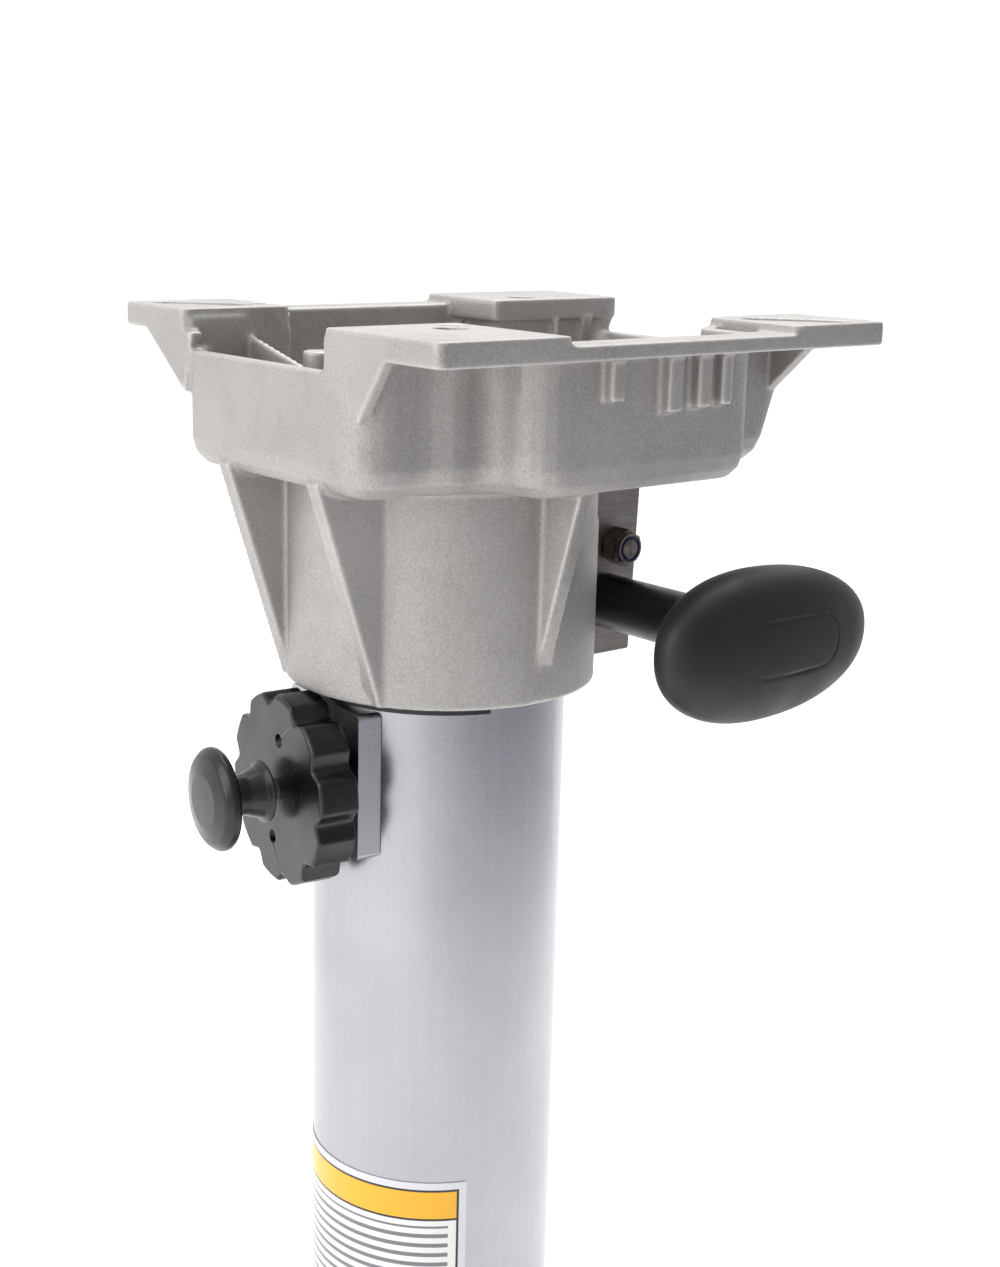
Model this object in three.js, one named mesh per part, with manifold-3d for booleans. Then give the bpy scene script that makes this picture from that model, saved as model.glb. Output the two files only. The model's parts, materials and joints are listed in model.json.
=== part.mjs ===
// A seat pedestal top on its column: a cast four-armed seat mount that swivels and locks
// on a telescoping post. Millimetres, +Z up. Z = 0 is the deck, the Z axis is the column's
// axis, and +X runs to the mount's long end.
import * as THREE from "three";
import { mergeVertices } from "three/addons/utils/BufferGeometryUtils.js";
import Module from "manifold-3d";

const wasm = await Module();
wasm.setup();

// Overall sizes
const seatHeight = 406; // deck to the pads' top faces, with the post fully down
const travel = 101.6; // how far the post rises
const holePitch = 25.4; // between the height holes
const padReachLeft = 60; // column axis to the short end of the pads
const padReachRight = 102; // column axis to the long end
const padReachSide = 73; // column axis to either side
const gap = 0.3; // between pieces that touch or slide

// Column and post
const columnR = 36.5;
const columnWall = 3;
const bushWall = 3;
const postR = columnR - columnWall - bushWall - 0.5;
const postWall = 3;
const postLength = 212;
const columnTopDrop = 62; // pads' top faces down to the column's top edge
const bushLength = 26;
const pinHoleR = 3.6;

// Base
const baseR = 114;
const baseRim = 6;
const baseFloor = 5;
const hubWall = 9.5;
const hubHeight = 52;
const deckHoleR = 3.6;
const deckHoleCircle = 95;
const deckHoles = 6;
const setScrewR = 4;

// Seat mount casting; drops are measured down from the pads' top faces
const padThick = 6.5;
const railTopDrop = 2.4;
const railInner = 59;
const trayDrop = 43;
const trayFloor = 5;
const trayWall = 4;
const trayRound = 8;
const rimDrop = 11;
const narrowHalf = 43.5;
const bulgeHalf = 65;
const bulgeEnd = 59;
const endLean = 15; // how far the long end leans in towards its foot
const endCorner = 10;
const ribThick = 5;
const ribSpread = 21;
const skirtDrop = 102.6;
const skirtWall = 5.7;
const linerWall = 1.9;
const skirtBore = columnR + linerWall + 2 * gap;
const skirtR = skirtBore + skirtWall;
const slotR = 4.5;
const boltHoleR = 4.6;
const pads = {
  shortBack: { x: [-padReachLeft, -padReachLeft + 35.8], y: [padReachSide - 32.5, padReachSide] },
  shortFront: { x: [-padReachLeft, -padReachLeft + 42.4], y: [-padReachSide, -padReachSide + 47] },
  longFront: { x: [padReachRight - 37.9, padReachRight], y: [-padReachSide, -padReachSide + 34.2] },
  longBack: { x: [padReachRight - 52.2, padReachRight], y: [padReachSide - 35.5, padReachSide] },
};

// Swivel, stacked down from the tray floor
const bossDrop = 47.4; // foot of the boss under the tray floor
const thrustThick = 1.6;
const ringThick = 5;
const ringR = 34;
const ringNotches = 12;
const notchDepth = 2.4;
const notchWidth = 5.4;
const flangeThick = 2.6;
const plugLength = 34;
const spindleR = 6;
const spindleBushWall = 1.5;

// Swivel lock lever
const plateThick = 3;
const plateFront = -13;
const plateTopDrop = 52.8;
const plateFootDrop = 102.6;
const plateWidth = 21.8;
const plateTaper = 2.2; // how much narrower the plate's foot is than its top
const plateStandOff = 1.1;
const footRelief = 3; // clears the skirt as the plate's foot swings in
const pivotDrop = 69.5;
const pivotOut = 11.3; // skirt surface line to the pivot bolt
const pivotR = 3;
const nutFlats = 10;
const nutThick = 5.4;
const leverR = 8.2;
const leverOut = 7.9; // skirt surface line to the lever's axis
const leverDrop = 86;
const paddleReach = 80;
const paddleShift = -2.7; // the paddle's centre from the lever's axis
const paddleRise = 1.2;
const paddleHalf = { x: 39.5, y: 14.5, z: 21.3 };

// Height clamp and pull pin; the knobs' direction is turned from the mount's own axes
const knobAzimuth = 173;
const clampDrop = 130.6;
const blockHalfWidth = 20;
const blockHalfHeight = 21;
const blockProud = 1.4;
const blockRise = 3.2; // the block's centre above the knob's
const stemR = 8;
const stemBore = 5.8;
const nutR = 9.5;
const knobStandOff = 3.3;
const knobR = 27.4;
const knobThick = 12;
const knobLobes = 10;
const knobDip = 2.8; // depth of the dips between the lobes
const knobBossR = 10.8;
const knobBoss = 3;
const knobHoleRise = 14.6;
const knobHoleAside = 2;
const pinR = 3;
const headR = 14.5;
const headOut = 13.4; // from the clamp knob's boss to the pull knob's head

// Label
const labelTopDrop = 247.5;
const labelHeight = 92;
const labelFrom = -112;
const labelSweep = 122;

// Segments round a full turn
const widest = 96;
const round = 48;
const fine = 18;

const paint = (color, roughness, metalness) =>
  new THREE.MeshStandardMaterial({ color, roughness, metalness });
const cast = () => paint(0xa9a5a1, 0.62, 0.75);
const anodised = () => paint(0xd4d4da, 0.32, 0.9);
const steel = () => paint(0x9a9890, 0.38, 1);
const plated = () => paint(0x6e6a60, 0.4, 1);
const black = () => paint(0x141416, 0.5, 0);
const nylon = () => paint(0x1b1b1d, 0.6, 0);
const white = () => paint(0xe4e2da, 0.55, 0);

// ---- making and joining solids ----

function solid(geometry) {
  const open = geometry.index ? geometry.toNonIndexed() : geometry;
  const bare = new THREE.BufferGeometry().setAttribute("position", open.getAttribute("position"));
  const merged = mergeVertices(bare, 1e-4);
  const triangles = [];
  for (let i = 0; i < merged.index.count; i += 3) {
    const [a, b, c] = [0, 1, 2].map((k) => merged.index.getX(i + k));
    if (a !== b && b !== c && c !== a) triangles.push([a, b, c]);
  }
  const build = (list) =>
    new wasm.Manifold(
      new wasm.Mesh({
        numProp: 3,
        vertProperties: merged.attributes.position.array,
        triVerts: new Uint32Array(list.flat()),
      }),
    );
  const made = build(triangles);
  return made.volume() > 0 ? made : build(triangles.map(([a, b, c]) => [a, c, b]));
}

const along = {
  x: new THREE.Matrix4().makeBasis(
    ...[[0, 0, 1], [1, 0, 0], [0, 1, 0]].map((v) => new THREE.Vector3(...v)),
  ),
  y: new THREE.Matrix4().makeBasis(
    ...[[1, 0, 0], [0, 1, 0], [0, 0, 1]].map((v) => new THREE.Vector3(...v)),
  ),
  z: new THREE.Matrix4().makeBasis(
    ...[[1, 0, 0], [0, 0, 1], [0, -1, 0]].map((v) => new THREE.Vector3(...v)),
  ),
};

// A turned piece: profile points are [radius, place along the axis], closed along the axis or on itself.
function turned(profile, axis = "z", at = [0, 0, 0], segments = round) {
  const geometry = new THREE.LatheGeometry(profile.map(([r, t]) => new THREE.Vector2(r, t)), segments);
  return solid(geometry.applyMatrix4(along[axis]).translate(...at));
}

const rod = (r, from, to, axis, at, segments = fine) =>
  turned([[0, from], [r, from], [r, to], [0, to]], axis, at, segments);

const sleeve = (inner, outer, from, to, axis = "z", at = [0, 0, 0], segments = round) =>
  turned([[inner, from], [outer, from], [outer, to], [inner, to], [inner, from]], axis, at, segments);

function block(x, y, z) {
  const size = [x, y, z].map(([low, high]) => high - low);
  const middle = [x, y, z].map(([low, high]) => (low + high) / 2);
  return solid(new THREE.BoxGeometry(...size).translate(...middle));
}

// An outline extruded along an axis: "z" takes [x, y] points, "y" takes [x, z] and "x" takes [y, z].
const extrudeTo = {
  z: new THREE.Matrix4(),
  y: new THREE.Matrix4().makeBasis(
    ...[[1, 0, 0], [0, 0, 1], [0, -1, 0]].map((v) => new THREE.Vector3(...v)),
  ),
  x: new THREE.Matrix4().makeBasis(
    ...[[0, 1, 0], [0, 0, 1], [1, 0, 0]].map((v) => new THREE.Vector3(...v)),
  ),
};
function extruded(outline, axis, from, to) {
  const drawn = () => new THREE.Shape(outline.map(([u, v]) => new THREE.Vector2(u, v)));
  const shape = outline instanceof THREE.Shape ? outline : drawn();
  const geometry = new THREE.ExtrudeGeometry(
    shape, { depth: to - from, bevelEnabled: false, curveSegments: 6 },
  );
  geometry.translate(0, 0, axis === "y" ? -to : from).applyMatrix4(extrudeTo[axis]);
  return solid(geometry);
}

// A rectangle with rounded corners, as a Shape.
function plateOutline([x0, x1], [y0, y1], r) {
  const shape = new THREE.Shape();
  shape.absarc(x1 - r, y0 + r, r, -Math.PI / 2, 0);
  shape.absarc(x1 - r, y1 - r, r, 0, Math.PI / 2);
  shape.absarc(x0 + r, y1 - r, r, Math.PI / 2, Math.PI);
  shape.absarc(x0 + r, y0 + r, r, Math.PI, 1.5 * Math.PI);
  shape.closePath();
  return shape;
}

// A straight slot with round ends, cut along Z.
function slot(x, y, length, r, degrees, from, to) {
  const half = length / 2 - r;
  const shape = new THREE.Shape();
  shape.absarc(half, 0, r, -Math.PI / 2, Math.PI / 2);
  shape.absarc(-half, 0, r, Math.PI / 2, 1.5 * Math.PI);
  const geometry = new THREE.ExtrudeGeometry(
    shape, { depth: to - from, bevelEnabled: false, curveSegments: 8 },
  );
  return solid(geometry.rotateZ(THREE.MathUtils.degToRad(degrees)).translate(x, y, from));
}

// A closed skin through rings of points that all run anticlockwise, lowest ring first.
function loft(rings) {
  const n = rings[0].length;
  const triangles = [];
  const lid = THREE.ShapeUtils.triangulateShape(rings[0].map((p) => new THREE.Vector2(p.x, p.y)), []);
  const turn = (ring, [a, b, c]) => {
    const [p, q, s] = [a, b, c].map((i) => rings[ring][i]);
    return (q.x - p.x) * (s.y - p.y) - (q.y - p.y) * (s.x - p.x);
  };
  const top = (rings.length - 1) * n;
  for (const face of lid) {
    const [a, b, c] = turn(0, face) > 0 ? face : [face[0], face[2], face[1]];
    triangles.push(a, c, b, top + a, top + b, top + c);
  }
  for (let r = 0; r < rings.length - 1; r++) {
    for (let i = 0; i < n; i++) {
      const [a, b] = [r * n + i, r * n + ((i + 1) % n)];
      triangles.push(a, b, b + n, a, b + n, a + n);
    }
  }
  const geometry = new THREE.BufferGeometry().setFromPoints(rings.flat());
  geometry.setIndex(triangles);
  return solid(geometry);
}

class Helix extends THREE.Curve {
  constructor(radius, from, to, turns) {
    super();
    Object.assign(this, { radius, from, to, turns });
  }
  getPoint(t, target = new THREE.Vector3()) {
    const a = 2 * Math.PI * this.turns * t;
    const z = this.from + (this.to - this.from) * t;
    return target.set(this.radius * Math.cos(a), this.radius * Math.sin(a), z);
  }
}

// A coil spring along an axis; its ends are the wire's own ends.
function coil(radius, wire, from, to, turns, axis, at) {
  const section = new THREE.Shape().absarc(0, 0, wire / 2, 0, 2 * Math.PI);
  const geometry = new THREE.ExtrudeGeometry(section, {
    steps: Math.round(turns * 12),
    curveSegments: 3,
    bevelEnabled: false,
    extrudePath: new Helix(radius, from + wire / 2, to - wire / 2, turns),
  });
  if (axis !== "z") geometry.applyMatrix4(extrudeTo.x);
  if (axis === "y") geometry.applyMatrix4(extrudeTo.x);
  return solid(geometry.translate(...at));
}

function geometryOf(made) {
  const { numProp, vertProperties, triVerts } = made.getMesh();
  const positions = new Float32Array((vertProperties.length / numProp) * 3);
  for (let i = 0; i * numProp < vertProperties.length; i++) {
    positions.set(vertProperties.subarray(i * numProp, i * numProp + 3), i * 3);
  }
  const geometry = new THREE.BufferGeometry().setAttribute(
    "position", new THREE.BufferAttribute(positions, 3),
  );
  geometry.setIndex(new THREE.BufferAttribute(new Uint32Array(triVerts), 1));
  geometry.computeVertexNormals();
  return geometry;
}

function add(group, name, made, material) {
  const mesh = new THREE.Mesh(geometryOf(made), material);
  mesh.name = name;
  group.add(mesh);
}

const join = (...pieces) => pieces.reduce((whole, piece) => whole.add(piece));
const cut = (whole, ...tools) => tools.reduce((left, tool) => left.subtract(tool), whole);
const degrees = (a) => THREE.MathUtils.degToRad(a);
const onCircle = (r, a) => [r * Math.cos(degrees(a)), r * Math.sin(degrees(a))];

// ---- groups: the deck frame, the seat mount's frame, and the turned frame of the column ----

const pedestal = new THREE.Group();
const column = new THREE.Group();
column.rotation.z = degrees(knobAzimuth - 180);
pedestal.add(column);
const mount = new THREE.Group();
mount.position.z = seatHeight;
pedestal.add(mount);
const clamp = new THREE.Group();
clamp.position.z = seatHeight - clampDrop;
column.add(clamp);

// ---- base ----

function baseFlange() {
  const hubR = columnR + gap + hubWall;
  const profile = [
    [0, 0], [baseR - 1.5, 0], [baseR, 1.5], [baseR, baseRim - 2], [baseR - 2, baseRim],
    [hubR + 14, 12], [hubR + 4, 18], [hubR, 26], [hubR - 1, hubHeight - 1.5],
    [hubR - 2.5, hubHeight], [0, hubHeight],
  ];
  const socket = rod(columnR + gap, baseFloor, hubHeight + 1, "z", [0, 0, 0], round);
  let flange = cut(turned(profile), socket);
  for (let i = 0; i < deckHoles; i++) {
    const [x, y] = onCircle(deckHoleCircle, i * (360 / deckHoles));
    const hole = [
      [0, -1], [deckHoleR, -1], [deckHoleR, baseRim - 1.8], [deckHoleR * 2.4, baseRim + 3],
      [0, baseRim + 3],
    ];
    flange = cut(flange, turned(hole, "z", [x, y, 0], fine));
  }
  for (const angle of setScrewAngles) {
    const hole = solid(
      new THREE.CylinderGeometry(setScrewR, setScrewR, hubWall + 12, fine)
        .rotateZ(Math.PI / 2)
        .translate(columnR + hubWall / 2, 0, setScrewHeight)
        .rotateZ(degrees(angle)),
    );
    flange = cut(flange, hole);
  }
  return flange;
}

const setScrewAngles = [90, 210, 330];
const setScrewHeight = 34;

function setScrew(angle) {
  const length = hubWall - gap;
  const [innerEnd, outerEnd] = [columnR + 2 * gap, columnR + gap + length];
  const socketR = 2.3;
  const screw = cut(
    rod(setScrewR - gap, innerEnd, outerEnd, "x", [0, 0, 0]),
    turned(
      [[0, outerEnd - 4], [socketR, outerEnd - 4], [socketR, outerEnd + 1], [0, outerEnd + 1]], "x",
      [0, 0, 0], 6,
    ),
  );
  const geometry = geometryOf(screw);
  return solid(geometry.rotateZ(degrees(angle)).translate(0, 0, setScrewHeight));
}

add(pedestal, "base_flange", baseFlange(), cast());
setScrewAngles.forEach((angle, i) => add(pedestal, `base_setscrew_${i + 1}`, setScrew(angle), plated()));

// ---- column, its bushes and the post that slides in it ----

const columnTop = seatHeight - columnTopDrop;
const columnFoot = baseFloor + gap;
const clampHeight = seatHeight - clampDrop;
const flangeTopDrop = bossDrop + thrustThick + 2 * gap + ringThick + gap;
const postTop = seatHeight - flangeTopDrop - flangeThick - gap;
const postFoot = postTop - postLength;
const blockScrewR = 2;
const blockScrewRise = 17;
const blockFace = columnR + blockProud;

function outerTube() {
  const tube = sleeve(columnR - columnWall, columnR, columnFoot, columnTop, "z", [0, 0, 0], widest);
  const nutHole = rod(nutR + gap, -columnR - 2, -columnR + columnWall + 4, "x", [0, 0, clampHeight]);
  const screws = [-1, 1].map((side) =>
    rod(
      blockScrewR + gap, -columnR - 2, -columnR + columnWall + 4, "x",
      [0, 0, clampHeight + blockRise + side * blockScrewRise], 16,
    ),
  );
  return cut(tube, nutHole, ...screws);
}

function slideTube() {
  let tube = sleeve(postR - postWall, postR, postFoot, postTop);
  for (let n = 0; n < Math.round(travel / holePitch); n++) {
    const z = clampHeight - holePitch * (n + 0.5);
    tube = cut(tube, rod(pinHoleR, -postR - 2, -postR + postWall + 4, "x", [0, 0, z], 16));
  }
  return tube;
}

function topBush() {
  const [inner, outer] = [postR + 0.25, columnR - columnWall - 0.25];
  const lipFoot = columnTop + gap;
  return join(
    sleeve(inner, outer, columnTop - bushLength, lipFoot + 1),
    sleeve(inner, columnR - 0.6, lipFoot, lipFoot + 2),
  );
}

function footBush() {
  const [inner, outer] = [postR + 0.25, columnR - columnWall - 0.25];
  const sleevePart = sleeve(inner, outer, postFoot - 3, postFoot + bushLength);
  return join(sleevePart, sleeve(postR - postWall, outer, postFoot - 3, postFoot - gap));
}

add(column, "outer_tube", outerTube(), anodised());
add(column, "column_top_bush", topBush(), nylon());
add(column, "post_foot_bush", footBush(), nylon());
add(column, "slide_tube", slideTube(), anodised());

// The printed film wraps the front of the column, with the column's own facets.
function labelFilm() {
  const [low, high] = [seatHeight - labelTopDrop - labelHeight, seatHeight - labelTopDrop];
  const film = sleeve(columnR + 0.06, columnR + 0.31, low, high, "z", [0, 0, 0], widest);
  const start = labelFrom - (knobAzimuth - 180);
  const wedge = [[0, 0]];
  for (let i = 0; i <= 6; i++) wedge.push(onCircle(columnR * 1.4, start - (labelSweep * i) / 6));
  return film.intersect(extruded(wedge.reverse(), "z", low - 1, high + 1));
}
add(column, "notice_label", labelFilm(), white());

// ---- swivel: plug, lock ring, thrust washer and spindle ----

const ringTop = -(bossDrop + thrustThick + 2 * gap);
const ringFoot = ringTop - ringThick;
const hubNeckR = 12;
const plugDrop = flangeTopDrop + flangeThick + plugLength;
const crossPinR = 3;
const crossPinDrop = flangeTopDrop + flangeThick + 20;

function swivelHub() {
  const plugR = postR - postWall - gap;
  const profile = [
    [spindleR + gap, -plugDrop], [plugR - 1.5, -plugDrop], [plugR, -plugDrop + 1.5],
    [plugR, -flangeTopDrop - flangeThick],
    [postR, -flangeTopDrop - flangeThick], [postR, -flangeTopDrop], [hubNeckR - gap, -flangeTopDrop],
    [hubNeckR - gap, ringTop - 0.4], [spindleR + gap, ringTop - 0.4], [spindleR + gap, -plugDrop],
  ];
  return cut(turned(profile), rod(crossPinR + gap / 2, 10, postR + 1, "y", [0, 0, -crossPinDrop], 16));
}

function lockRing() {
  let ring = sleeve(hubNeckR, ringR, ringFoot, ringTop);
  for (let i = 0; i < ringNotches; i++) {
    const notch = new THREE.BoxGeometry(2 * notchDepth, notchWidth, ringThick + 2)
      .translate(ringR, 0, (ringFoot + ringTop) / 2)
      .rotateZ(degrees(((i + 0.5) * 360) / ringNotches + fingerAzimuth));
    ring = cut(ring, solid(notch));
  }
  return ring;
}

const fingerAzimuth = THREE.MathUtils.radToDeg(Math.asin((plateFront + plateThick / 2) / ringR));
const floorTop = -trayDrop + trayFloor;
const washerTop = floorTop + gap + 2.5;
const headTop = washerTop + gap + 7.5;

function spindleBolt() {
  const shank = rod(spindleR, -plugDrop + 2, washerTop + gap + 1, "z", [0, 0, 0]);
  return join(
    shank,
    turned(
      [[0, washerTop + gap], [10.9, washerTop + gap], [10.9, headTop - 0.8], [10, headTop], [0, headTop]],
      "z", [0, 0, 0], 6,
    ),
  );
}

add(mount, "swivel_hub", swivelHub(), cast());
add(mount, "lock_ring", lockRing(), steel());
add(
  mount, "hub_cross_pin",
  rod(crossPinR, 10 + gap, postR - postWall - 2 * gap, "y", [0, 0, -crossPinDrop], 16), plated(),
);
add(
  mount, "thrust_washer",
  sleeve(spindleR + spindleBushWall + 1, postR, ringTop + gap, ringTop + gap + thrustThick),
  white(),
);
add(
  mount, "spindle_bush",
  sleeve(spindleR + gap, spindleR + spindleBushWall, -bossDrop + 0.2, floorTop - 0.2, "z", [0, 0, 0], 32),
  nylon(),
);
add(
  mount, "spindle_washer",
  sleeve(spindleR + gap, 14.5, floorTop + gap, washerTop, "z", [0, 0, 0], 32), steel(),
);
add(mount, "spindle_bolt", spindleBolt(), plated());

// ---- seat mount casting ----

// One half of the tray's plan, walked from the short end to the long one: points with their headings.
function trayWalk() {
  const stops = [];
  let [x, y, heading] = [-padReachLeft, 0, -90];
  const stop = () => stops.push({ x, y, heading });
  const line = (length) => {
    x += length * Math.cos(degrees(heading));
    y += length * Math.sin(degrees(heading));
    stop();
  };
  const bend = (r, by) => {
    const steps = Math.ceil(Math.abs(by) / 22);
    const side = Math.sign(by);
    const [cx, cy] = onCircle(r, heading + 90 * side).map((v, i) => v + [x, y][i]);
    const first = heading;
    for (let i = 1; i <= steps; i++) {
      heading = first + (by * i) / steps;
      [x, y] = onCircle(r, heading - 90 * side).map((v, k) => v + [cx, cy][k]);
      stop();
    }
  };
  const waveStart = -padReachLeft + 18;
  stop();
  line(narrowHalf - endCorner);
  bend(endCorner, 90);
  line(waveStart - x);
  bend(8, -40);
  bend(9, 40);
  line(3);
  bend(6, -80);
  line((bulgeHalf + y - 10 * (1 - Math.cos(degrees(80)))) / Math.sin(degrees(80)));
  bend(10, 80);
  line(bulgeEnd - 9 - x);
  bend(9, 90);
  line(-narrowHalf - 6 - y);
  bend(6, -90);
  line(padReachRight - 1 - endCorner - x);
  bend(endCorner, 90);
  line(-y);
  return stops;
}

// The tray's plan drawn in by an inset, at a height; the long end leans in towards the foot.
function trayRing(inset, z) {
  const half = trayWalk().map(({ x, y, heading }) => {
    const [dx, dy] = onCircle(inset, heading + 90);
    return [x + dx, y + dy];
  });
  const back = half.slice(1, -1).reverse().map(([x, y]) => [x, -y]);
  const lean = (endLean * Math.max(0, -padThick - z)) / (trayDrop - padThick);
  const leanFrom = bulgeEnd + 6;
  const reach = padReachRight - 1 - leanFrom;
  return [...half, ...back].map(([x, y]) => {
    const share = Math.max(0, (x - leanFrom) / reach);
    return new THREE.Vector3(x - lean * share, y, z);
  });
}

function trayForm(inset, foot, top, r) {
  const rings = [];
  for (let i = 0; i <= 3; i++) {
    const t = (i * Math.PI) / 6;
    rings.push(trayRing(inset + r * (1 - Math.sin(t)), foot + r * (1 - Math.cos(t))));
  }
  rings.push(trayRing(inset, -padThick), trayRing(inset, top));
  return loft(rings);
}

// A triangular web that stands in an end wall's plane, under a pad.
const endGusset = (x, side, out, drop) =>
  extruded(
    [
      [side * (narrowHalf - 7), -padThick + 0.5], [side * (narrowHalf - 3), -drop],
      [side * out, -padThick + 0.5],
    ],
    "x", x, x + 4,
  );

function seatMount() {
  const { shortBack, shortFront, longFront, longBack } = pads;
  let body = trayForm(0, -trayDrop, -railTopDrop, trayRound);
  const rails = [-1, 1].map((side) => {
    const y = [side * padReachSide, side * railInner].sort((a, b) => a - b);
    return block([shortFront.x[1] - 8, longFront.x[0] + 8], y, [-padThick, -railTopDrop]);
  });
  body = join(body, ...rails);
  body = body.subtract(trayForm(trayWall, -trayDrop + trayFloor, 2, 4));

  for (const pad of Object.values(pads)) {
    body = body.add(extruded(plateOutline(pad.x, pad.y, 2.5), "z", -padThick, 0));
  }
  body = cut(
    body,
    block(
      [-padReachLeft - 1, -padReachLeft + 12], [shortFront.y[1] - 0.2, shortBack.y[0] - 1],
      [-rimDrop, 1],
    ),
    block(
      [padReachRight - 14, padReachRight + 1], [longFront.y[1] - 0.2, longBack.y[0] - 0.2],
      [-rimDrop, 1],
    ),
  );

  body = join(
    body,
    endGusset(-padReachLeft, 1, 62, 23),
    endGusset(-padReachLeft, -1, 52, 23),
    endGusset(padReachRight - 16, 1, 60, 24),
    endGusset(padReachRight - 16, -1, 60, 24),
  );

  // Skirt, its webs and the lever's lug
  const skirt = rod(skirtR, -skirtDrop, -trayDrop + 1, "z", [0, 0, 0], widest);
  const webInner = Math.sqrt(skirtR ** 2 - (ribSpread + ribThick / 2) ** 2) - 2;
  const webs = [-1, 1].map((side) =>
    extruded(
      [
        [-webInner, -skirtDrop], [-webInner - 3.2, -skirtDrop], [-padReachLeft, -trayDrop + 3],
        [-webInner, -trayDrop + 3],
      ],
      "y", side * ribSpread - ribThick / 2, side * ribSpread + ribThick / 2,
    ),
  );
  const sideWebs = [-1, 1].map((side) =>
    extruded(
      [
        [side * (skirtR - 2), -skirtDrop + 4], [side * (bulgeHalf - 5), -trayDrop + 2.5],
        [side * (skirtR - 2), -trayDrop + 2.5],
      ],
      "x", -1.5, 3.5,
    ),
  );
  const lug = extruded(
    [
      [skirtR - 3, -pivotDrop - 14], [skirtR + pivotOut, -pivotDrop - 6.5],
      [skirtR + pivotOut + 5, -pivotDrop - 3],
      [skirtR + pivotOut + 5, -pivotDrop + 5], [skirtR + pivotOut - 2, -pivotDrop + 9],
      [skirtR - 3, -pivotDrop + 9],
    ],
    "y", lugFront, lugFront + lugThick,
  );
  body = join(body, skirt, ...webs, ...sideWebs, lug);
  body = cut(body, rod(skirtBore, -skirtDrop - 1, -trayDrop, "z", [0, 0, 0], widest));
  body = body.add(rod(20, -bossDrop, -trayDrop + 1, "z", [0, 0, 0], 32));

  // Ribs on the side wall under the front rail, and in the tray
  const hung = [[1.8, 2.4, 11], [22.6, 2.6, 15], [33.5, 2.4, 14.4], [42, 2, 14]];
  hung.forEach(([x, half, drop]) => {
    const height = [-padThick - drop, -padThick + 0.5];
    body = body.add(block([x - half, x + half], [-bulgeHalf - 4, -bulgeHalf + 1], height));
  });
  body = body.add(block([-21.4, -19.6], [-58, -48.6], [-trayDrop + 27, -padThick + 0.5]));
  body = join(
    body,
    block(
      [52, 53.6], [bulgeHalf - trayWall - 3, bulgeHalf - trayWall + 1],
      [-trayDrop + trayFloor - 1, -railTopDrop - 1],
    ),
    block(
      [74, 75.6], [narrowHalf - trayWall - 3, narrowHalf - trayWall + 1],
      [-trayDrop + trayFloor - 1, -padThick],
    ),
    rod(4.6, -trayDrop + 1, -9.5, "z", [-37, 8, 0], 20),
    extruded(
      [
        [8, -trayDrop + 1], [narrowHalf - trayWall + 0.5, -trayDrop + 1],
        [narrowHalf - trayWall + 0.5, -8], [8, -16],
      ],
      "x", -38.9, -37.1,
    ),
    block(shortBack.x, [shortBack.y[0], shortBack.y[0] + 3.5], [-rimDrop - 1, -padThick + 0.5]),
  );

  // Openings
  body = cut(
    body,
    rod(spindleR + spindleBushWall + 0.15, -bossDrop - 1, -trayDrop + trayFloor + 1, "z", [0, 0, 0], 32),
    block([skirtR - 18, skirtR + 4], [-34, plateFront + plateThick + 1.6], [-56, -46.2]),
    rod(pivotR + gap, lugFront - 1, lugFront + lugThick + 1, "y", [pivotX, 0, -pivotDrop], 20),
    slot(-43, 58, 29, slotR, -44, -padThick - 1, 1),
    slot(-27.2, 51.6, 7.4, 2.6, -25, -padThick - 1, 1),
    rod(boltHoleR, -padThick - 1, 1, "z", [-31, -41, 0], fine),
    slot(-24, -33.5, 9, 1.6, -25, -padThick - 1, 1),
    slot(81, -57.5, 31, slotR, -46, -padThick - 1, 1),
    rod(boltHoleR, -padThick - 1, 1, "z", [68, 47, 0], fine),
  );
  return body;
}

const pivotX = skirtR + pivotOut;
const lugThick = 12;
const lugFront = plateFront + plateThick + 3.4;
add(mount, "seat_mount_casting", seatMount(), cast());

// The black liner is split in two; the half over the clamp stands a little below the skirt.
function linerHalf(startAngle, sweep, footDrop) {
  const [low, high] = [-footDrop, -columnTopDrop];
  const wedge = [[0, 0]];
  for (let i = 0; i <= 8; i++) wedge.push(onCircle(columnR * 1.5, startAngle + (sweep * i) / 8));
  const liner = sleeve(columnR + gap, skirtBore - gap, low, high);
  return liner.intersect(extruded(wedge, "z", low - 1, high + 1));
}
add(mount, "skirt_liner_proud_half", linerHalf(-107 - 178, 178, skirtDrop + 2.8), nylon());
add(mount, "skirt_liner_flush_half", linerHalf(-106, 176, skirtDrop - 1), nylon());

// ---- swivel lock lever ----

const plateStart = Math.sqrt(skirtR ** 2 - plateFront ** 2) + plateStandOff;
const plateBack = plateFront + plateThick;
const leverX = skirtR + leverOut;

function leverPlate() {
  const fingerTip = Math.sqrt((ringR + gap) ** 2 - plateBack ** 2) + 0.6;
  const fingerTop = ringTop + 0.2;
  const outline = [
    [plateStart, -pivotDrop], [plateStart + footRelief, -plateFootDrop],
    [plateStart + plateWidth - plateTaper, -plateFootDrop],
    [plateStart + plateWidth, -plateTopDrop], [plateStart + 1, -plateTopDrop],
    [plateStart, fingerTop], [fingerTip, fingerTop],
    [fingerTip, ringFoot - 0.2], [plateStart, ringFoot - 0.2],
  ];
  return cut(
    extruded(outline, "y", plateFront, plateBack),
    rod(pivotR + gap, plateFront - 1, plateBack + 1, "y", [pivotX, 0, -pivotDrop], 20),
  );
}

function leverTube() {
  return sleeve(leverR - 1.5, leverR, -paddleReach + 6, plateFront - gap, "y", [leverX, 0, -leverDrop], 30);
}

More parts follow.
